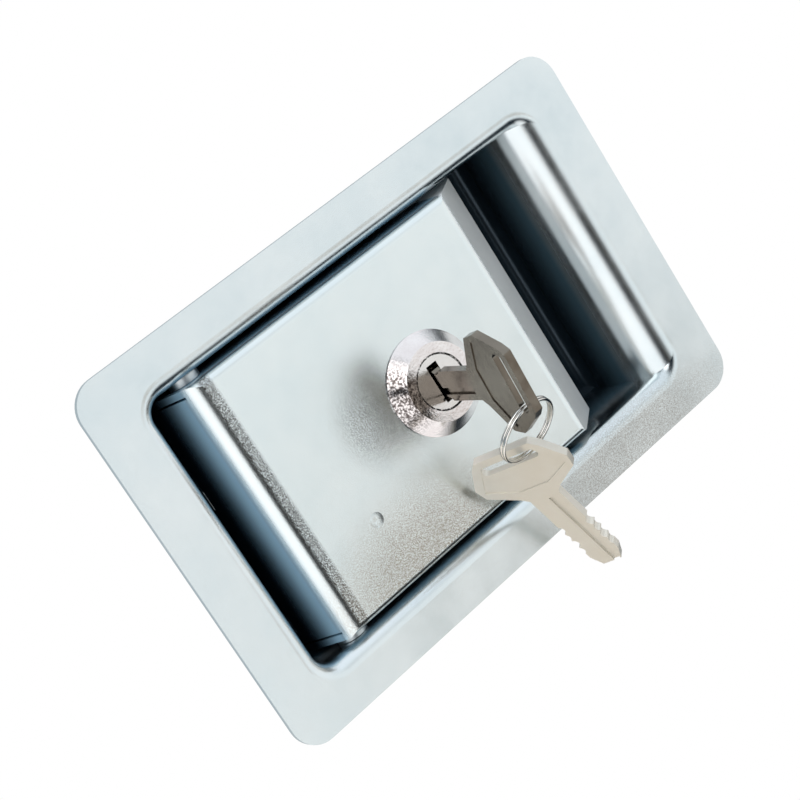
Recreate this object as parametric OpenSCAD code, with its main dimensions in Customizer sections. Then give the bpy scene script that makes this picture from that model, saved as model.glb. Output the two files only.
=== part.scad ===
// Flush paddle lock for the side door of a machine: a drawn pan, a sprung paddle with a key cylinder,
// a hook latch behind the pan, and two keys on a split ring.
// X runs across the door, Y runs into the door and Z runs up.
// The origin is the middle of the flange's back face, which lies on the door's skin.

/* [Pan] */
// Width of the flange
flange_w = 139.4; // [132:0.2:160]
// Height of the flange
flange_h = 88.8; // [86:0.2:110]
// Corner radius of the flange
flange_r = 6.5; // [2:0.5:8]
// Thickness of the pan's sheet
pan_t = 1.2; // [1:0.1:1.5]
// Width of the well between its side walls
well_w = 112; // [108:1:118]
// Height of the well between its top and bottom walls
well_h = 66; // [62:1:68]
// Depth of the well from the flange's face to the floor
well_d = 25; // [24.5:0.5:30]
// Corner radius of the well seen from the front
well_r = 4; // [3.5:0.5:8]
// Radius of the rolled edge between the flange and the walls
roll_r = 3.5; // [2:0.5:4.5]
// Radius of the wide roll beside the finger pocket
wide_r = 9; // [7:0.5:10]
// Radius inside the bend between the walls and the floor
foot_r = 3; // [1.5:0.5:3.5]
// Radius of the studs welded behind the flange
stud_r = 2.5; // [2:0.5:3]
// Length of the studs
stud_len = 11; // [10:1:25]

/* [Paddle] */
// Thickness of the paddle's sheet
pad_t = 1.5; // [1.2:0.1:1.8]
// Height of the paddle's face above the flange's face
pad_proud = 0.5; // [0:0.1:1.5]
// Gap between the paddle's skirts and the well's walls
pad_gap = 1.75; // [1.2:0.05:2.5]
// Width of the open finger pocket beside the paddle
pocket_w = 18; // [16:0.5:20]
// Outside bend radius along the paddle's long edges
edge_r = 2; // [1.9:0.1:3]
// Width of the sloping finger end seen from the front
ramp_w = 11.5; // [10:0.5:12]
// Slope of the finger end below the paddle's face
ramp_slope = 45; // [40:1:47]
// Outside bend radius where the finger end slopes off
ramp_r = 3; // [2:0.1:4]
// Outside bend radius of the finger lip
lip_r = 2; // [1.9:0.1:2.5]
// Outside bend radius of the crease at the hinge end
crease_r = 5; // [4:0.1:5.5]
// Lean of the heel below the crease, away from upright
heel_lean = 22; // [18:1:24]
// Width of the tail that works the hook
tail_w = 10; // [7:0.5:12]
// Length of the tail below the heel
tail_len = 6.5; // [6:0.1:7]
// Depth of the paddle's skirts, heel and lip below its face
skirt_d = 12.5; // [12:0.5:13.5]
// Thickness of the plate welded behind the paddle's face
back_t = 1.2; // [1:0.1:1.5]

/* [Hinge] */
// Distance of the hinge pin from the well's left wall
pivot_in = 12.1; // [11.8:0.1:12.4]
// Distance from the start of the crease's bend to the hinge pin
crease_out = 0.4; // [0.2:0.1:0.5]
// Depth of the hinge pin's axis below the flange's face
pivot_d = 7; // [6.8:0.1:7.4]
// Radius of the hinge pin
pivot_r = 2; // [1.8:0.1:2.2]
// Wire diameter of the paddle's spring
pad_wire = 1.2; // [1:0.1:1.3]
// Whole turns of the paddle's spring
pad_turns = 5; // [3:1:6]

/* [Cylinder] */
// Position of the key cylinder across the flange
lock_x = 0.5; // [-1:0.5:2]
// Radius of the bezel where it meets the paddle
bezel_r = 11.6; // [11:0.1:13]
// Radius of the bezel's flat front ring
bezel_top_r = 8.65; // [8:0.05:9.5]
// Height of the bezel above the paddle
bezel_h = 3.6; // [2.5:0.1:4.5]
// Radius of the threaded barrel
barrel_r = 9; // [8.8:0.1:9.5]
// Length of the cylinder behind the paddle's face
barrel_len = 17.2; // [16.8:0.1:17.4]
// Radius of the turning plug
plug_r = 6.25; // [6.2:0.05:6.5]
// Number of tumbler wafers
wafers = 5; // [3:1:6]
// Width of the locking cam
cam_w = 9; // [7:0.5:10]
// Thickness of the locking cam
cam_t = 2; // [1.5:0.1:2.2]

/* [Keys] */
// Thickness of a key
key_t = 2; // [1.6:0.1:2.2]
// Length of a key from bow to tip
key_len = 41; // [40:0.5:43]
// Width of the blade
blade_w = 7.4; // [6.8:0.1:7.8]
// Length of the bow up to its shoulder
bow_len = 15.2; // [14:0.1:18]
// Largest width of the bow
bow_w = 24; // [21:0.2:26]
// Width of the bow's outer end
bow_end_w = 17.2; // [16.6:0.2:19]
// Distance from the bow's outer end to its widest place
bow_wide_at = 8.9; // [8:0.1:10]
// Length of the slot in the bow
slot_len = 14.4; // [13:0.2:14.6]
// Width of the slot in the bow
slot_w = 2.6; // [2.4:0.1:3]
// Distance of the slot's middle from the bow's outer end
slot_in = 3.4; // [3:0.1:4]
// Length of the blade inside the plug
key_in = 12.6; // [12:0.1:15]
// Droop of the key's bow in the keyway's play
key_droop = 5; // [0:0.5:6]
// Radius of the split ring at the middle of its wire
ring_r = 7.4; // [7:0.1:7.6]
// Wire diameter of the split ring
ring_wire = 0.75; // [0.6:0.05:0.8]
// Lean of the ring towards the paddle
ring_lean = 42; // [37:1:45]
// Place along the spare key's slot where the ring passes
spare_hang = 4.5; // [2:0.5:5]
// Twist of the spare key about its length
spare_twist = 30; // [20:1:33]
// Sway of the spare key to the side
spare_sway = 20; // [10:1:21]
// Lean of the spare key's tip towards the door
spare_lean = 11; // [5:1:13]

/* [Hook] */
// Thickness of the hook
hook_t = 4.5; // [4:0.1:5]
// Distance of the hook's pin to the right of the hinge pin
hook_dx = 6.9; // [6.5:0.1:7.2]
// Distance of the hook's pin behind the pan's floor
hook_dy = 8.5; // [8.2:0.1:9]
// Radius of the hook's pin
hook_pin_r = 3; // [2.6:0.1:3.2]
// Thickness of the hook's bracket
ear_t = 1.5; // [1.2:0.1:2]
// Gap between the bracket's ears
ear_gap = 13.6; // [13:0.1:13.8]
// Width of the hook's shank
shank_w = 8; // [7.5:0.1:8.5]
// Distance from the hook's pin to the floor of its mouth
mouth_d = 14; // [13:0.5:16]
// Reach of the claw beyond the shank
claw_reach = 9; // [8:0.5:11]
// Thickness of the claw under its mouth
claw_t = 5; // [4:0.5:6]
// Wire diameter of the hook's spring
hook_wire = 0.9; // [0.8:0.1:1]

/* [Fits] */
// Radial play of turning pins and the plug
run_gap = 0.05; // [0.02:0.01:0.09]
// Play between pieces that are assembled and stay put
seat_gap = 0.1; // [0.05:0.05:0.2]
// Play between faces that move past each other
slide_gap = 0.35; // [0.3:0.05:0.4]

/* [Hidden] */
$fn = 64;

// Planes along Y
front_y = -pan_t;
floor_y = front_y + well_d;
floor_back = floor_y + pan_t;
pad_y = front_y - pad_proud;
pad_back = pad_y + pad_t;
back_y = pad_back + back_t;
barrel_end = pad_y + barrel_len;

// Hinge and paddle outline
pivot_x = -well_w/2 + pivot_in;
pivot_y = front_y + pivot_d;
pad_h = well_h - 2*pad_gap;
lip_x = well_w/2 - pocket_w;
flat_end = lip_x - ramp_w;
crease_x = pivot_x + crease_out;
seam = 0.5;
weld_r = 5;
weld_d = 0.3;
weld_x = -28.8;
weld_z = -15;
wall_z = well_h/2 + pan_t;

// Wide roll beside the finger pocket
roll_lap = 0.3;
roll_x = well_w/2 + roll_r + roll_lap;
side_x = roll_x - wide_r;

// Hinge pin hardware
pin_head_r = pivot_r + 1.6;
pin_head_h = 1.4;
clip_t = 0.8;
clip_groove = pivot_r - 0.4;
pin_tail = 1.2;

// Studs
stud_clear = 0.2;
stud_x = well_w/2 + roll_r + stud_r + stud_clear;
stud_z = well_h/2 + roll_r + stud_r + stud_clear;
stud_chamfer = 0.8;

// Cylinder hardware
barrel_flat = barrel_r - 0.9;
bezel_rim = 0.7;
washer_t = 0.8;
washer_r = barrel_r + 3.4;
nut_t = 4;
nut_r = barrel_r + 4.8;
plug_recess = 0.2;
face_y = pad_y - bezel_h + plug_recess;
keyway_w = key_t + 0.9;
keyway_play = 0.2;
keyway_h = blade_w + key_in*sin(key_droop) + 2*keyway_play;
keyway_end = barrel_end - 3;
wafer_t = 1;
wafer_w = 5;
wafer_h = 2*plug_r - 1.2;
wafer_pitch = 2.1;
wafer_y0 = face_y + key_in - wafer_t - (wafers - 1)*wafer_pitch;
tang = 7;
cam_land = 4;
cam_y = barrel_end + 0.15;
tang_end = cam_y + cam_t - seat_gap;
screw_r = 1.7;
screw_len = 6;
screw_head_r = 3.5;
screw_head_h = 2.2;
lockw_t = 0.9;
lockw_y = cam_y + cam_t;
screw_y = lockw_y + lockw_t;

// Keeper that the cam turns into
keeper_t = 1.5;
keeper_back = 5;
keeper_x = flat_end - keeper_back;
cam_past = 2.5;
cam_reach = keeper_x + keeper_t + cam_past - lock_x;
keeper_in = 8;
keeper_top = 10;
keeper_foot = 8;
notch_gap = 1;

// Key details
key_mid = face_y + key_in/2;
key_far = key_len - key_in/2;
bow_rim = 1.5;
bow_recess = 0.25;
bow_r = 1.6;
groove_d = 0.55;
groove_w = 1.7;
groove_z = -1.3;
cut_r = 1.3;
cut_pitch = 2.6;
cuts = 4;
cut_start = 6;
cut_bite = [0.55, 0.9, 0.4, 0.75];
tip_w = 4.6;
tip_len = 3.2;
slot_end = slot_len/2 - slot_w/2;

// Hook and bracket
hook_x = pivot_x + hook_dx;
hook_y = floor_back + hook_dy;
bush_r = hook_pin_r + 1.5;
boss_r = bush_r + 2.2;
shank_l = -shank_w/2 - 0.5;
shank_r = shank_l + shank_w;
arm_l = -3.5;
arm_w = 6;
nose_r = 1.8;
hook_swing = 28;
slot_gap = 0.8;
window_l = crease_x - crease_r/2 - slot_gap;
arm_at_floor = hook_dy + pan_t;
window_r = hook_x + (arm_l + arm_w + arm_at_floor*sin(hook_swing))/cos(hook_swing) + slot_gap;
window_h = ear_gap + 0.2;
ear_r = hook_pin_r + 3.5;
base_l = window_l - 4;
base_r = window_r + 4;
rivet_r = hook_pin_r + 1.5;
rivet_h = 1.4;

// Tail of the paddle, down the line of the heel
crease_c = [crease_x, pad_y + crease_r];
heel_dir = [-sin(heel_lean), cos(heel_lean)];
heel_out = [-cos(heel_lean), -sin(heel_lean)];
heel_len = (skirt_d - crease_r - crease_r*heel_out[1])/heel_dir[1];
nose_c = crease_c + (crease_r - pad_t - slide_gap - nose_r)*heel_out + (heel_len + tail_len - 3)*heel_dir;

// Springs
pad_coil_r = pivot_r + pad_wire/2 + 0.5;
pad_coil_z = 9.6;
pad_foot = 18;
pad_pitch = pad_wire + 0.2;
hook_coil_r = bush_r + hook_wire/2 + 0.25;
coil_steps = 16;

// A rectangle in plan with true round corners
module rounded_rect(w, h, r) {
    square([w - 2*r, h], center = true);
    square([w, h - 2*r], center = true);
    for (sx = [-1, 1], sz = [-1, 1])
        translate([sx*(w/2 - r), sz*(h/2 - r)]) circle(r);
}

// A plate that lies across Y, from y0 to y1, with a plan drawn in X and Z
module across(y0, y1) {
    translate([0, y1, 0]) rotate([90, 0, 0]) linear_extrude(y1 - y0) children();
}

// A plate that lies across Z, from z0 to z1, with a profile drawn in X and Y
module along_z(z0, z1) {
    translate([0, 0, z0]) linear_extrude(z1 - z0) children();
}

// A turned piece about a Y axis: the profile is drawn as radius and Y
module turned(x) {
    translate([x, 0, 0]) rotate([-90, 0, 0]) rotate_extrude() children();
}

// A bent strip of sheet seen on edge, from angle a0 to a1
module bend(r, t, a0, a1) {
    am = (a0 + a1)/2;
    far = 3*r;
    intersection() {
        difference() {
            circle(r);
            circle(r - t);
        }
        polygon([[0, 0], far*[cos(a0), sin(a0)], far*[cos(am), sin(am)], far*[cos(a1), sin(a1)]]);
    }
}

// A round bar along Z
module bar_z(x, y, z0, z1, r) {
    translate([x, y, z0]) cylinder(r = r, h = z1 - z0);
}

// The frames carried along a wire without twist
function unit(v) = v/norm(v);
function tangent(p, i) = unit(p[min(i + 1, len(p) - 1)] - p[max(i - 1, 0)]);
function carry(p, i, n) = unit(n - (n*tangent(p, i))*tangent(p, i));
function normals(p, i, n) = i == len(p) ? [] : let (m = carry(p, i, n)) concat([m], normals(p, i + 1, m));

// A wire of radius r along the path p
module wire(p, r) {
    sides = 8;
    ns = normals(p, 0, [0.1, 0.2, 1]);
    pts = [for (i = [0 : len(p) - 1]) let (b = cross(tangent(p, i), ns[i]))
        for (k = [0 : sides - 1]) p[i] + r*(cos(360*k/sides)*ns[i] + sin(360*k/sides)*b)];
    skin = [for (i = [0 : len(p) - 2], k = [0 : sides - 1]) let (a = i*sides, j = (k + 1)%sides)
        [a + k, a + j, a + sides + j, a + sides + k]];
    last = (len(p) - 1)*sides;
    caps = [[for (k = [sides - 1 : -1 : 0]) k], [for (k = [0 : sides - 1]) last + k]];
    polyhedron(pts, concat(skin, caps), convexity = 8);
}

// The turns of a coil about a Z axis, from angle a0 by the given turn, between two heights
function coil(c, r, a0, turn, z0, z1) = [for (i = [0 : ceil(abs(turn)*coil_steps/360)])
    let (f = i/ceil(abs(turn)*coil_steps/360), a = a0 + f*turn)
    [c[0] + r*cos(a), c[1] + r*sin(a), z0 + f*(z1 - z0)]];

// The sheet's section from the flange's roll to the floor's bend, u outwards from the wall's face
module pan_section(roll) {
    translate([roll, front_y + roll]) bend(roll, pan_t, 180, 270);
    translate([0, front_y + roll]) square([pan_t, well_d - roll - foot_r]);
    translate([-foot_r, floor_y - foot_r]) bend(foot_r + pan_t, pan_t, 0, 90);
}

// The walls of the well: the section carried round a rounded rectangle
module pan_walls() {
    lx = well_w - 2*well_r;
    lz = well_h - 2*well_r;
    rotate([0, 180, 0]) translate([well_w/2, 0, -lz/2]) linear_extrude(lz) pan_section(roll_r);
    for (s = [90, 270]) rotate([0, s, 0]) translate([well_h/2, 0, -lx/2]) linear_extrude(lx) pan_section(roll_r);
    for (sx = [0, 1], sz = [0, 1]) mirror([sx, 0, 0]) mirror([0, 0, sz])
        translate([lx/2, 0, lz/2]) rotate([-90, 0, 0]) mirror([0, 1, 0])
            rotate_extrude(angle = 90) translate([well_r, 0]) pan_section(roll_r);
}

// All that lies behind the middle of the wide roll and of the wall below it
module behind_pocket() {
    far = flange_w;
    foot = [side_x - foot_r, floor_y - foot_r];
    along_z(-flange_h, flange_h) difference() {
        union() {
            translate(foot) square([far, foot_r + 2*pan_t]);
            translate([side_x + 0.6*pan_t, front_y + wide_r]) square([far, well_d]);
            translate([roll_x, front_y + wide_r]) circle(wide_r - pan_t/2);
        }
        translate(foot) circle(foot_r + 0.45*pan_t);
    }
}

// The wide roll and the wall below it, let into the well's top and bottom walls
module pocket_wall() {
    half = well_h/2 - foot_r;
    out = foot_r + pan_t/2;
    intersection() {
        translate([side_x, 0, 0]) along_z(-well_h, well_h) pan_section(wide_r);
        union() {
            for (s = [-1, 1]) translate([0, floor_y - foot_r, s*half]) rotate([0, 90, 0]) cylinder(r = out, h = well_w);
            translate([0, front_y - 1, -half]) cube([well_w, well_d + 4, 2*half]);
            translate([0, front_y - 1, -half - out]) cube([well_w, well_d + 1 - foot_r, 2*half + 2*out]);
        }
    }
}

module pan() {
    color("lightsteelblue") difference() {
        union() {
            across(front_y, 0) difference() {
                rounded_rect(flange_w, flange_h, flange_r);
                rounded_rect(well_w + 2*roll_r, well_h + 2*roll_r, well_r + roll_r);
            }
            difference() {
                union() {
                    pan_walls();
                    across(floor_y, floor_back)
                        rounded_rect(well_w - 2*foot_r, well_h - 2*foot_r, well_r - foot_r);
                }
                behind_pocket();
            }
            pocket_wall();
        }
        bar_z(pivot_x, pivot_y, -flange_h/2, flange_h/2, pivot_r + run_gap);
        translate([window_l, floor_y - pan_t, -window_h/2])
            cube([window_r - window_l, 3*pan_t, window_h]);
    }
}

module mounting_studs() {
    color("silver") for (sx = [-1, 1], sz = [-1, 1]) translate([0, 0, sz*stud_z]) turned(sx*stud_x)
        polygon([[0, 0], [stud_r, 0], [stud_r, stud_len - stud_chamfer], [stud_r - stud_chamfer, stud_len],
            [0, stud_len]]);
}

module pivot_pin() {
    groove_z0 = -wall_z - seat_gap - clip_t;
    color("gray") {
        difference() {
            bar_z(pivot_x, pivot_y, groove_z0 - pin_tail, wall_z, pivot_r);
            difference() {
                bar_z(pivot_x, pivot_y, groove_z0 - seat_gap, groove_z0 + clip_t, pivot_r + 1);
                bar_z(pivot_x, pivot_y, groove_z0 - 1, groove_z0 + clip_t + 1, clip_groove);
            }
        }
        bar_z(pivot_x, pivot_y, wall_z, wall_z + pin_head_h, pin_head_r);
    }
}

module pivot_clip() {
    z1 = -wall_z - seat_gap;
    color("dimgray") difference() {
        bar_z(pivot_x, pivot_y, z1 - clip_t, z1, pin_head_r);
        bar_z(pivot_x, pivot_y, z1 - 2*clip_t, z1 + clip_t, clip_groove + run_gap);
        translate([pivot_x, pivot_y - clip_groove, z1 - 2*clip_t])
            cube([2*pin_head_r, 2*clip_groove, 3*clip_t]);
    }
}

module pivot_washers() {
    t = pad_gap - 2*seat_gap;
    color("silver") for (s = [-1, 1]) difference() {
        translate([0, 0, s*(pad_h/2 + pad_gap/2)]) bar_z(pivot_x, pivot_y, -t/2, t/2, pin_head_r);
        bar_z(pivot_x, pivot_y, -well_h, well_h, pivot_r + run_gap);
    }
}

// One leg stands on the floor, the coil goes round the hinge pin, and the other leg presses on the heel
module paddle_spring() {
    a0 = -40;
    z1 = pad_coil_z + (pad_turns + 0.4)*pad_pitch;
    foot = [pivot_x + pad_foot, floor_y - pad_wire/2 - seat_gap, z1];
    heel = crease_c + (crease_r - pad_t - slide_gap - pad_wire/2)*heel_out + (heel_len - pad_wire)*heel_dir;
    turns = coil([pivot_x, pivot_y], pad_coil_r, a0, -140 - 360*pad_turns, z1, pad_coil_z);
    color("darkgray") wire(concat([foot], turns, [[heel[0], heel[1], pad_coil_z]]), pad_wire/2);
}

// An angle on the floor: its top stops the paddle, and its notch holds the cam when that is turned to it
module cam_keeper() {
    notch_y = cam_y - notch_gap;
    notch_z = cam_w/2 + notch_gap;
    color("silver") {
        difference() {
            translate([keeper_x, pad_back + slide_gap, -keeper_in])
                cube([keeper_t, floor_y - pad_back - slide_gap, keeper_in + keeper_top]);
            translate([keeper_x - keeper_t, notch_y, -2*keeper_in])
                cube([3*keeper_t, cam_t + 2*notch_gap, 2*keeper_in + notch_z]);
        }
        translate([keeper_x, floor_y - keeper_t, -keeper_in])
            cube([keeper_foot, keeper_t, keeper_in + keeper_top]);
    }
}

// A channel on the pan's back: its ears carry the hook's pin
module hook_bracket() {
    ear_z = ear_gap/2;
    color("silver") difference() {
        union() {
            translate([base_l, floor_back, -ear_z - ear_t])
                cube([base_r - base_l, ear_t, ear_gap + 2*ear_t]);
            for (z = [-ear_z - ear_t, ear_z]) along_z(z, z + ear_t) {
                polygon([[base_l, floor_back], [base_r, floor_back], [hook_x + ear_r, hook_y],
                    [hook_x - ear_r, hook_y]]);
                translate([hook_x, hook_y]) circle(ear_r);
            }
        }
        bar_z(hook_x, hook_y, -ear_gap, ear_gap, hook_pin_r + run_gap);
        translate([window_l, floor_back - ear_t, -ear_z])
            cube([window_r - window_l, 3*ear_t, ear_gap]);
    }
}

module hook_pin() {
    ear_out = ear_gap/2 + ear_t;
    color("gray") {
        bar_z(hook_x, hook_y, -ear_out, ear_out, hook_pin_r);
        for (s = [0, 1]) mirror([0, 0, s]) translate([hook_x, hook_y, ear_out])
            cylinder(r1 = rivet_r, r2 = rivet_r - rivet_h/2, h = rivet_h);
    }
}

// One leg bears on the bracket's base, the coil goes round the bush, and the other leg crosses the shank
module hook_spring() {
    z_in = hook_t/2 + hook_wire/2 + slide_gap;
    z_out = ear_gap/2 - hook_wire/2 - slide_gap;
    bend_r = hook_wire;
    shank_x = hook_x + shank_l - hook_wire/2 - slide_gap;
    low_y = hook_y + mouth_d - 3;
    foot = [base_r - 2, floor_back + ear_t + hook_wire/2 + seat_gap, z_out];
    turns = coil([hook_x, hook_y], hook_coil_r, -90, -90 - 720, z_out, z_in);
    leg = [[shank_x, hook_y + 4, z_in], [shank_x, low_y - bend_r, z_in], [shank_x, low_y, z_in - bend_r],
        [shank_x, low_y, -hook_t/2]];
    color("darkgray") wire(concat([foot], turns, leg), hook_wire/2);
}

// The paddle seen from the side, heel at the left and finger lip at the right, set in by t all round
module paddle_side(t) {
    down = pad_y + skirt_d + 3*t;
    ramp_c = [flat_end - ramp_r*sin(ramp_slope)/2, pad_y + ramp_r];
    ramp_out = [sin(ramp_slope), -cos(ramp_slope)];
    ramp_dir = [cos(ramp_slope), sin(ramp_slope)];
    ramp_len = (lip_x - lip_r - ramp_c[0] - (ramp_r - lip_r)*ramp_out[0])/ramp_dir[0];
    lip_c = ramp_c + (ramp_r - lip_r)*ramp_out + ramp_len*ramp_dir;
    heel_top = crease_c + (crease_r - t)*heel_out;
    polygon([heel_top, [crease_x, pad_y + t], [ramp_c[0], pad_y + t], ramp_c + (ramp_r - t)*ramp_out,
        lip_c + (lip_r - t)*ramp_out, [lip_x - t, lip_c[1]], [lip_x - t, down],
        heel_top + (down - heel_top[1])/heel_dir[1]*heel_dir]);
    translate(crease_c) circle(crease_r - t);
    translate(ramp_c) circle(ramp_r - t);
    translate(lip_c) circle(lip_r - t);
}

// The paddle seen along its length, set in by t all round
module paddle_end(t) {
    bend_x = pad_h/2 - edge_r;
    for (s = [-1, 1]) translate([s*bend_x, pad_y + edge_r]) circle(edge_r - t);
    translate([-bend_x, pad_y + t]) square([2*bend_x, skirt_d + 2*t]);
    translate([t - pad_h/2, pad_y + edge_r]) square([pad_h - 2*t, skirt_d - edge_r + 3*t]);
}

// The solid block inside the paddle's outline, set in by t all round
module paddle_block(t) {
    intersection() {
        along_z(-pad_h, pad_h) paddle_side(t);
        translate([-well_w, 0, 0]) rotate([90, 0, 90]) linear_extrude(2*well_w) rotate(90) mirror([0, 1]) paddle_end(t);
    }
}

module heel_section(len) {
    translate(crease_c) rotate(180 + heel_lean) translate([crease_r - pad_t, -len]) square([pad_t, len]);
}

module barrel_outline(gap) {
    intersection() {
        circle(barrel_r + gap);
        square([2*barrel_flat + 2*gap, 4*barrel_r], center = true);
    }
}

module paddle() {
    seam_z = pad_h/2 - pad_t - seam;
    color("lightsteelblue") difference() {
        union() {
            difference() {
                paddle_block(0);
                paddle_block(pad_t);
            }
            along_z(-tail_w/2, tail_w/2) heel_section(heel_len + tail_len);
        }
        bar_z(pivot_x, pivot_y, -pad_h, pad_h, pivot_r + run_gap);
        translate([lock_x, 0, 0]) across(pad_y - pad_t, pad_back + pad_t) barrel_outline(seat_gap);
        translate([lock_x + weld_x, pad_y + weld_d - weld_r, weld_z]) sphere(weld_r);
        for (s = [0, 1]) mirror([0, 0, s]) translate([crease_x - skirt_d, pad_y + crease_r/2, seam_z])
            cube([skirt_d - crease_r/2, skirt_d, seam]);
    }
}

module backing_plate() {
    plate_h = 40;
    plate_in = 34;
    plate_gap = 3;
    plate_w = keeper_x - plate_gap - lock_x + plate_in;
    mid_in = plate_in - plate_w/2;
    color("silver") translate([lock_x - mid_in, 0, 0]) across(pad_back, back_y) difference() {
        rounded_rect(plate_w, plate_h, bow_r);
        translate([mid_in, 0]) barrel_outline(seat_gap);
    }
}

module lock_body() {
    top_y = pad_y - bezel_h;
    color("gainsboro") difference() {
        union() {
            turned(lock_x) polygon([[plug_r + run_gap, top_y], [bezel_top_r, top_y],
                [bezel_r - bezel_rim/2, pad_y - bezel_rim], [bezel_r, pad_y - bezel_rim/2], [bezel_r, pad_y],
                [plug_r + run_gap, pad_y]]);
            translate([lock_x, 0, 0]) across(pad_y, barrel_end) barrel_outline(0);
        }
        turned(lock_x) translate([0, top_y - 1]) square([plug_r + run_gap, barrel_len + bezel_h + 2]);
    }
}

module lock_washer() {
    teeth = 12;
    color("silver") translate([lock_x, 0, 0]) across(back_y, back_y + washer_t) difference() {
        circle(washer_r);
        circle(barrel_r + seat_gap);
        for (k = [0 : teeth - 1]) rotate(360*k/teeth) translate([washer_r, 0]) rotate(45) square(1.6, center = true);
    }
}

module lock_nut() {
    nut_y = back_y + washer_t;
    color("gainsboro") translate([lock_x, 0, 0]) across(nut_y, nut_y + nut_t) difference() {
        circle(nut_r, $fn = 6);
        circle(barrel_r + seat_gap);
    }
}

module plug() {
    color("gainsboro") difference() {
        union() {
            turned(lock_x) translate([0, face_y]) square([plug_r, barrel_end - face_y]);
            translate([lock_x - tang/2, barrel_end, -tang/2]) cube([tang, tang_end - barrel_end, tang]);
        }
        translate([lock_x - keyway_w/2, face_y - 1, -keyway_h/2])
            cube([keyway_w, keyway_end - face_y + 1, keyway_h]);
        for (k = [0 : wafers - 1]) translate([lock_x, wafer_y0 + k*wafer_pitch, 0])
            cube([wafer_w + 2*seat_gap, wafer_t + 2*seat_gap, wafer_h + 2*seat_gap], center = true);
        turned(lock_x) translate([0, tang_end - screw_len]) square([screw_r + seat_gap, 2*screw_len]);
    }
}

module wafers() {
    color("goldenrod") for (k = [0 : wafers - 1]) difference() {
        translate([lock_x, wafer_y0 + k*wafer_pitch, 0]) cube([wafer_w, wafer_t, wafer_h], center = true);
        translate([lock_x, wafer_y0 + k*wafer_pitch, 0]) cube([keyway_w, 2*wafer_t, keyway_h], center = true);
    }
}

module cam() {
    color("silver") translate([lock_x, 0, 0]) across(cam_y, cam_y + cam_t) difference() {
        union() {
            circle(tang/2 + cam_land);
            translate([-cam_w/2, -cam_reach + cam_w/2]) square([cam_w, cam_reach - cam_w/2]);
            translate([0, -cam_reach + cam_w/2]) circle(cam_w/2);
        }
        square(tang + 2*seat_gap, center = true);
    }
}

module cam_washer() {
    color("gray") turned(lock_x) translate([screw_r + seat_gap, lockw_y])
        square([screw_head_r - screw_r, lockw_t]);
}

module cam_screw() {
    color("gainsboro") difference() {
        turned(lock_x) {
            translate([0, screw_y - screw_len]) square([screw_r, screw_len]);
            translate([0, screw_y]) square([screw_head_r, screw_head_h]);
        }
        for (a = [0, 90]) translate([lock_x, screw_y + screw_head_h, 0]) rotate([0, a, 0])
            cube([0.9, screw_head_h, screw_head_r], center = true);
    }
}

// One side of a key's outline, from the bow's outer end to the tip, across as X and along as Y
function key_side() = [[bow_end_w/2 - bow_r, 0], [bow_end_w/2, bow_r], [bow_w/2, bow_wide_at - bow_r],
    [bow_w/2 - 0.6, bow_wide_at + bow_r], [blade_w/2 + 1.4, bow_len - 0.8], [blade_w/2, bow_len + 0.6],
    [blade_w/2, key_len - tip_len], [tip_w/2, key_len]];

// A flat key along Y with its width along Z: the bow's outer end is at the origin
module flat_key() {
    half = key_side();
    back = [for (i = [len(half) - 1 : -1 : 0]) [-half[i][0], half[i][1]]];
    bow = [[bow_end_w/2 - bow_rim - bow_r/2, bow_rim], [bow_w/2 - bow_rim, bow_wide_at],
        [blade_w/2, bow_len - 2*bow_rim]];
    bow_back = [for (i = [len(bow) - 1 : -1 : 0]) [-bow[i][0], bow[i][1]]];
    translate([-key_t/2, 0, 0]) difference() {
        rotate([0, 90, 0]) linear_extrude(key_t) difference() {
            polygon(concat(half, back));
            for (s = [-1, 1]) translate([s*slot_end, slot_in]) circle(slot_w/2);
            translate([-slot_end, slot_in - slot_w/2]) square([2*slot_end, slot_w]);
            for (k = [0 : cuts - 1], s = [-1, 1])
                translate([s*(blade_w/2 + cut_r - cut_bite[(k + s + 1)%cuts]), key_len - cut_start - k*cut_pitch])
                    circle(cut_r);
        }
        for (x = [bow_recess - key_t, key_t - bow_recess]) translate([x, 0, 0]) rotate([0, 90, 0])
            linear_extrude(key_t) polygon(concat(bow, bow_back));
        for (x = [-1, key_t - groove_d]) translate([x, bow_len + 1.5, groove_z - groove_w/2])
            cube([groove_d + 1, key_len, groove_w]);
    }
}

module key() {
    color("gainsboro") translate([lock_x, key_mid, 0]) rotate([key_droop, 0, 0]) translate([0, -key_far, 0]) flat_key();
}

// The split ring: two turns of wire side by side, leaning from the key's slot
ring_pin = [lock_x, key_mid - (key_far - slot_in)*cos(key_droop) + slot_end*sin(key_droop),
    -(key_far - slot_in)*sin(key_droop) - slot_end*cos(key_droop)];
ring_axis = [0, sin(ring_lean), -cos(ring_lean)];

module key_ring() {
    color("silver") translate(ring_pin + ring_r*ring_axis) rotate([ring_lean, 0, 0]) rotate([-90, 0, 0])
        rotate_extrude() for (s = [-1, 1]) translate([ring_r, s*ring_wire*0.48]) circle(ring_wire/2);
}

module spare_key() {
    color("wheat") translate(ring_pin + 2*ring_r*ring_axis) rotate([spare_lean, 0, 0])
        rotate([0, -spare_sway, 0]) rotate([0, 0, spare_twist]) rotate([-90, 0, 0])
            translate([0, -slot_in, spare_hang]) flat_key();
}

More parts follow.
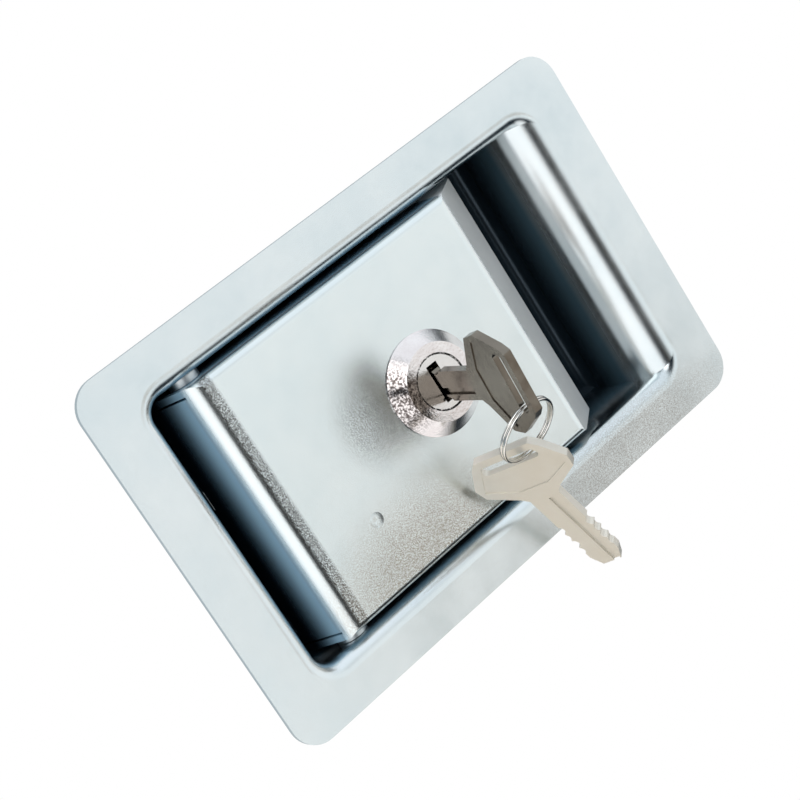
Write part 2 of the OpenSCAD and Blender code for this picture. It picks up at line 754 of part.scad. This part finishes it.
// The hook's outline about its pin, X across and Y into the door
module hook_outline() {
    nose = nose_c - [hook_x, hook_y];
    claw_y = mouth_d + claw_t;
    claw_x = shank_r + claw_reach;
    circle(boss_r);
    translate(nose) circle(nose_r);
    polygon([[nose[0], nose[1] - nose_r], [arm_l + arm_w - 2, nose[1] - nose_r], [arm_l + arm_w, nose[1] + 1],
        [arm_l + arm_w, 0], [arm_l, 0], [arm_l, nose[1] + nose_r + 3], [nose[0], nose[1] + nose_r]]);
    polygon([[shank_l, 0], [shank_r, 0], [shank_r, mouth_d], [claw_x - 2, mouth_d], [claw_x - 1, mouth_d - 1],
        [claw_x, mouth_d - 1], [claw_x, mouth_d + 1], [shank_l + 4, claw_y], [shank_l, claw_y - 3]]);
}

module hook() {
    color("silver") translate([hook_x, hook_y, -hook_t/2]) linear_extrude(hook_t) difference() {
        hook_outline();
        circle(bush_r);
    }
}

module hook_bush() {
    half = ear_gap/2 - seat_gap;
    color("darkgoldenrod") difference() {
        bar_z(hook_x, hook_y, -half, half, bush_r);
        bar_z(hook_x, hook_y, -ear_gap, ear_gap, hook_pin_r + run_gap);
    }
}

pan();
mounting_studs();
pivot_pin();
pivot_clip();
pivot_washers();
paddle_spring();
cam_keeper();
hook_bracket();
hook_pin();
hook_spring();
paddle();
backing_plate();
lock_body();
lock_washer();
lock_nut();
plug();
wafers();
cam();
cam_washer();
cam_screw();
key();
key_ring();
spare_key();
hook();
hook_bush();
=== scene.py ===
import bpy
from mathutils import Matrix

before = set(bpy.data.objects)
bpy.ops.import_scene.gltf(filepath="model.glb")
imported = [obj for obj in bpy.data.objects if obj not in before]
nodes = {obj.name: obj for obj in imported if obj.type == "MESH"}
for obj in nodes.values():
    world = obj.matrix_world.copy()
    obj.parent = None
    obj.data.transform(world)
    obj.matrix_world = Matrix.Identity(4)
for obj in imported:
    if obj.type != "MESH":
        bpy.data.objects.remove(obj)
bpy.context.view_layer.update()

from collections import namedtuple
from math import cos, radians

import bpy
from mathutils import Matrix, Vector

scene = bpy.context.scene

# Places on the lock, in metres: the paddle's fold, the start of its ramp, and the cylinder's axis
FOLD_X = -0.0434
RAMP_X = 0.0264
LOCK_X = 0.0005
# The plug's rim, from where its painted shade line starts to where it is full
PLUG_RIM_SHADE = (0.0058, 0.0061)
# Height of the grain in the metals' faces
GRAIN_HEIGHT = 0.0001
MM_PER_M = 1000

# A tint that takes over along an axis between two places, with how metallic it is there
Layer = namedtuple("Layer", "axis tint start end metallic")
# A speckled spot of tint, used below mostly for painted shade and painted reflections: tint, middle, stretch
# of its axes, near and far radius, and its weight at each of them
Patch = namedtuple("Patch", "tint middle stretch near far weight rim")
# A soft box or shade: the way towards it, its inner and outer edge in degrees, its colour and its strength
SoftBox = namedtuple("SoftBox", "towards inner outer tint strength")


def colour(hex_code, alpha=1.0):
    """An sRGB hex colour as linear values."""
    parts = [int(hex_code[i:i + 2], 16) / 255 for i in (1, 3, 5)]
    return [p / 12.92 if p <= 0.04045 else ((p + 0.055) / 1.055) ** 2.4 for p in parts] + [alpha]


def add(tree, kind, inputs=None, **settings):
    """Adds one node: settings are its properties, inputs its sockets, each a value or a node's output."""
    n = tree.nodes.new(kind)
    for k, v in settings.items():
        setattr(n, k, v)
    for k, v in (inputs or {}).items():
        if isinstance(v, bpy.types.NodeSocket):
            tree.links.new(v, n.inputs[k])
        else:
            n.inputs[k].default_value = v
    return n


def metal(name, dark, light, rough, mottle, grain, bump, shine=1.0, layers=(), patches=(), mouth=False):
    """A metal whose tint and roughness wander a little, with fine grain on its face.
    mottle and grain: the width of the clouds and of the grain in millimetres.
    mouth: keeps the layers to faces turned towards the mouth of the well, at the origin."""
    m = bpy.data.materials.new(name)
    m.use_nodes = True
    t = m.node_tree
    t.nodes.clear()
    place = add(t, "ShaderNodeTexCoord")
    where = place.outputs["Object"]
    axes = add(t, "ShaderNodeSeparateXYZ", {0: where})
    cloud = add(t, "ShaderNodeTexNoise", {"Vector": where, "Scale": MM_PER_M / mottle, "Detail": 5.0,
                                          "Roughness": 0.62}).outputs["Fac"]
    tone = add(t, "ShaderNodeMix", {"Factor": cloud, 6: colour(dark), 7: colour(light)},
               data_type="RGBA").outputs[2]
    speck = add(t, "ShaderNodeTexNoise", {"Vector": where, "Scale": MM_PER_M / grain,
                                          "Detail": 3.0}).outputs["Fac"]
    for patch in patches:
        away = add(t, "ShaderNodeVectorMath", {0: where, 1: patch.middle}, operation="SUBTRACT").outputs[0]
        away = add(t, "ShaderNodeVectorMath", {0: away, 1: patch.stretch}, operation="MULTIPLY").outputs[0]
        away = add(t, "ShaderNodeVectorMath", {0: away}, operation="LENGTH").outputs["Value"]
        weight = add(t, "ShaderNodeMapRange", {"Value": away, 1: patch.near, 2: patch.far, 3: patch.weight,
                                               4: patch.rim}, interpolation_type="SMOOTHSTEP")
        # Each patch is laid on the rising specks of the grain; most patches are painted shade and painted
        # reflections
        speckled = add(t, "ShaderNodeMapRange", {"Value": speck, 1: 0.36, 2: 0.62},
                     interpolation_type="SMOOTHSTEP")
        share = add(t, "ShaderNodeMath", {0: weight.outputs[0], 1: speckled.outputs[0]}, operation="MULTIPLY")
        tone = add(t, "ShaderNodeMix", {"Factor": share.outputs[0], 6: tone, 7: colour(patch.tint)},
                   data_type="RGBA").outputs[2]
    keep = 1.0
    if mouth:
        turned = add(t, "ShaderNodeVectorMath", {0: where, 1: place.outputs["Normal"]},
                     operation="DOT_PRODUCT").outputs["Value"]
        keep = add(t, "ShaderNodeMath", {0: turned, 1: 0.0}, operation="LESS_THAN").outputs[0]
    for layer in layers:
        share = add(t, "ShaderNodeMapRange", {"Value": axes.outputs[layer.axis], 1: layer.start, 2: layer.end,
                                              4: keep}, interpolation_type="SMOOTHSTEP").outputs[0]
        tone = add(t, "ShaderNodeMix", {"Factor": share, 6: tone, 7: colour(layer.tint)},
                   data_type="RGBA").outputs[2]
        shine = add(t, "ShaderNodeMix", {"Factor": share, 2: shine, 3: layer.metallic}).outputs[0]
    spread = add(t, "ShaderNodeMapRange", {"Value": cloud, 1: 0.3, 2: 0.7, 3: rough[0], 4: rough[1]},
                 interpolation_type="SMOOTHSTEP")
    relief = add(t, "ShaderNodeBump", {"Height": speck, "Strength": bump, "Distance": GRAIN_HEIGHT})
    face = add(t, "ShaderNodeBsdfPrincipled", {"Base Color": tone, "Metallic": shine,
                                               "Roughness": spread.outputs[0], "Normal": relief.outputs[0]})
    add(t, "ShaderNodeOutputMaterial", {"Surface": face.outputs[0]})
    return m


# The plating's own grain is too fine to show, so each metal's grain is drawn as coarse as a pixel needs

# Bright zinc plate with a blue passivation: pale soft reflections, with painted shade deep in the well that
# darkens it and makes it matte, and a warm brown speckled spot on the flange's lower right
PAN_ZINC = metal(
    "bright_zinc_plated_pan", "#c4d0d5", "#f8fbfb", (0.17, 0.27), 23.81, 0.1923, 0.2, mouth=True,
    layers=[Layer("Y", "#5f7d8d", 0.004, 0.011, 0.5),
            Layer("Y", "#2b3a45", 0.010, 0.020, 0.5)],
    patches=[Patch("#8f857b", (0.035, 0.0, -0.041), (0.8, 1, 3), 0.010, 0.034, 0.6, 0.0)])
# The same plate on the paddle, with painted shade down its heel from pale blue to near black, a matte
# near-white painted highlight on its ramp, a painted shade streak along the fold, a painted dark reflection
# of the bezel beside the lock and a painted warm reflection towards its lower edge
PADDLE_ZINC = metal(
    "bright_zinc_plated_paddle", "#cedadd", "#f8fbfa", (0.17, 0.27), 26.32, 0.1923, 0.2,
    layers=[Layer("Y", "#9fc6df", -0.0008, 0.0018, 0.1),
            Layer("Y", "#0c1620", 0.0015, 0.0090, 0.7),
            Layer("X", "#f4f8fa", RAMP_X, RAMP_X + 0.0014, 0.15)],
    patches=[Patch("#403a37", (FOLD_X, 0.0, 0.0), (1, 0, 0), 0.0007, 0.0019, 1.1, 0.0),
             Patch("#5a524d", (LOCK_X - 0.0185, 0.0, 0.002), (1, 0, 0.8), 0.002, 0.010, 0.6, 0.0),
             Patch("#94836f", (-0.022, 0.0, -0.030), (0.6, 0, 1), 0.005, 0.022, 0.85, 0.0)])
# Zinc plate on turned and stamped hardware: duller and greyer than the sheet
HARDWARE_ZINC = metal("zinc_plated_hardware", "#b4bcc0", "#d5dadc", (0.28, 0.42), 7.143, 0.3333, 0.12)
# Drawn spring wire: dark and slightly oiled
SPRING_STEEL = metal("drawn_spring_steel", "#6a6c70", "#94969a", (0.25, 0.38), 5, 0.25, 0.1)
# Chrome plate on a die casting: sharp but uneven mirror with a faint rose cast, and a painted dark reflection
# on its side towards the hinge
CHROME = metal(
    "chrome_plated_casting", "#d9cfce", "#fbf7f6", (0.07, 0.15), 3.125, 0.5, 0.3,
    patches=[Patch("#5d5552", (LOCK_X - 0.0105, -0.004, 0.003), (1, 1, 0.7), 0.003, 0.0085, 1.0, 0.0)])
# Chrome plate polished on the plug's face: a clear mirror with a painted shade line at its rim, where it
# meets the body
PLUG_CHROME = metal(
    "polished_chrome_plug", "#d8d3d0", "#f2efed", (0.1, 0.18), 3.846, 0.3125, 0.08,
    patches=[Patch("#1c1a19", (LOCK_X, 0.0, 0.0), (1, 0, 1), *PLUG_RIM_SHADE, 0.0, 4.0)])
# Stamped brass of the wafers: warm yellow, satin
BRASS = metal("stamped_brass", "#b18a4a", "#d6b06a", (0.25, 0.4), 5, 0.3333, 0.1)
# Sintered bronze of the hook's bush: brown, porous and dull
BRONZE = metal("sintered_bronze", "#8d6b3c", "#b08850", (0.35, 0.5), 2.5, 0.2, 0.2)
# Nickel plate on the key in the lock: the spare key's nickel with painted shade that makes it dark warm grey
SHADED_KEY_NICKEL = metal("shaded_nickel_key", "#665f58", "#979085", (0.16, 0.28), 5.556, 0.2381, 0.06)
# Satin nickel plate on the spare key: pale cream
SATIN_NICKEL = metal("satin_nickel_key", "#ece6da", "#fbf7ee", (0.28, 0.4), 5.556, 0.2381, 0.05, 0.35)
# Nickel plate on the split ring's wire: bright
RING_NICKEL = metal("nickel_plated_wire", "#dcdad6", "#f6f4f0", (0.08, 0.16), 3.333, 0.3333, 0.05)

LOOKS = {
    PAN_ZINC: ["pan"],
    PADDLE_ZINC: ["paddle"],
    HARDWARE_ZINC: ["backing_plate", "cam_keeper", "hook_bracket", "hook", "mounting_studs", "pivot_pin",
                    "hook_pin", "pivot_washers", "cam", "lock_washer", "lock_nut", "cam_washer", "cam_screw"],
    SPRING_STEEL: ["pivot_clip", "paddle_spring", "hook_spring"],
    CHROME: ["lock_body"],
    PLUG_CHROME: ["plug"],
    BRASS: ["wafers"],
    BRONZE: ["hook_bush"],
    SHADED_KEY_NICKEL: ["key"],
    SATIN_NICKEL: ["spare_key"],
    RING_NICKEL: ["key_ring"],
}
for look, names in LOOKS.items():
    for name in names:
        nodes[name].data.materials.clear()
        nodes[name].data.materials.append(look)

# Light: the studio's shade and soft boxes, each laid over the ones before it
SHADE = "#141f28"
BOXES = [
    SoftBox((0.0, 1.0, 0.0), 40, 75, "#c3ccd1", 0.95),
    SoftBox((-0.51, 0.33, -0.80), 24, 42, "#f4ead9", 1.0),
    SoftBox((0.62, -0.76, -0.20), 30, 44, "#f5f9fa", 1.08),
    SoftBox((0.46, -0.80, -0.39), 3, 11, "#d3cac0", 0.9),
    SoftBox((0.28, -0.88, -0.39), 3, 9, "#fbffff", 1.25),
    SoftBox((0.45, -0.65, 0.55), 14, 30, "#eef5f8", 1.0),
    SoftBox((-0.97, -0.05, -0.20), 10, 28, "#5f7f95", 0.8),
    SoftBox((-0.76, -0.61, -0.22), 24, 32, "#ffffff", 1.3),
    SoftBox((-0.08, -0.97, -0.22), 4, 12, "#4a4541", 1.0),
    SoftBox((-0.52, -0.48, 0.71), 16, 30, "#ffffff", 2.0),
    SoftBox((0.40, -0.25, 0.88), 24, 48, "#f2f9ff", 1.1),
    SoftBox((-0.27, -0.20, -0.94), 16, 34, "#ffffff", 1.1),
    SoftBox((0.95, -0.25, -0.16), 10, 24, "#ffffff", 1.0),
]

world = bpy.data.worlds.new("studio")
scene.world = world
world.use_nodes = True
w = world.node_tree
w.nodes.clear()
way = add(w, "ShaderNodeTexCoord").outputs["Generated"]
studio = colour(SHADE)
for box in BOXES:
    dot = add(w, "ShaderNodeVectorMath", {0: way, 1: Vector(box.towards).normalized()},
              operation="DOT_PRODUCT")
    edge = add(w, "ShaderNodeMapRange", {"Value": dot.outputs["Value"], 1: cos(radians(box.outer)),
                                         2: cos(radians(box.inner))}, interpolation_type="SMOOTHSTEP")
    bright = [c * box.strength for c in colour(box.tint)[:3]] + [1.0]
    studio = add(w, "ShaderNodeMix", {"Factor": edge.outputs[0], 6: studio, 7: bright},
                 data_type="RGBA").outputs[2]
ray = add(w, "ShaderNodeLightPath")
room = add(w, "ShaderNodeBackground", {"Color": studio})
white = add(w, "ShaderNodeBackground", {"Color": colour("#ffffff")})
mixed = add(w, "ShaderNodeMixShader", {0: ray.outputs["Is Camera Ray"], 1: room.outputs[0],
                                       2: white.outputs[0]})
add(w, "ShaderNodeOutputWorld", {"Surface": mixed.outputs[0]})

# Floor: a pale table below the object, plain white to the camera and left out of the metal's reflections
FLOOR_SIZE = 1.6
FLOOR_Z = -0.075
bpy.ops.mesh.primitive_plane_add(size=FLOOR_SIZE, location=(0, 0, FLOOR_Z))
floor = bpy.context.object
floor.name = "floor"
paint = bpy.data.materials.new("pale_table")
paint.use_nodes = True
f = paint.node_tree
f.nodes.clear()
seen = add(f, "ShaderNodeLightPath")
spot = add(f, "ShaderNodeTexNoise", {"Scale": 3.0})
pale = add(f, "ShaderNodeMix", {"Factor": spot.outputs["Fac"], 6: colour("#d9d2c8"), 7: colour("#e4ded6")},
           data_type="RGBA")
table = add(f, "ShaderNodeBsdfDiffuse", {"Color": pale.outputs[2]})
clear = add(f, "ShaderNodeBsdfTransparent")
plain = add(f, "ShaderNodeEmission", {"Color": colour("#ffffff")})
mirrored = add(f, "ShaderNodeMixShader", {0: seen.outputs["Is Glossy Ray"], 1: table.outputs[0],
                                          2: clear.outputs[0]})
both = add(f, "ShaderNodeMixShader", {0: seen.outputs["Is Camera Ray"], 1: mirrored.outputs[0],
                                      2: plain.outputs[0]})
add(f, "ShaderNodeOutputMaterial", {"Surface": both.outputs[0]})
floor.data.materials.append(paint)

# Camera: the photograph's own view, solved from the flange's corners
EYE = Vector((-0.2043, -0.3708, 0.0998))
LOOK = Vector((0.4563, 0.8600, -0.2284)).normalized()
UP = Vector((0.5656, -0.0822, 0.8206))
LENS_MM = 91.65
SENSOR_MM = 36.0
right = LOOK.cross(UP).normalized()
up = right.cross(LOOK)
lens = bpy.data.cameras.new("camera")
lens.lens = LENS_MM
lens.sensor_width = SENSOR_MM
lens.clip_start = 0.01
camera = bpy.data.objects.new("camera", lens)
camera.matrix_world = Matrix.Translation(EYE) @ Matrix((right, up, -LOOK)).transposed().to_4x4()
scene.collection.objects.link(camera)
scene.camera = camera
scene.view_settings.view_transform = "Standard"
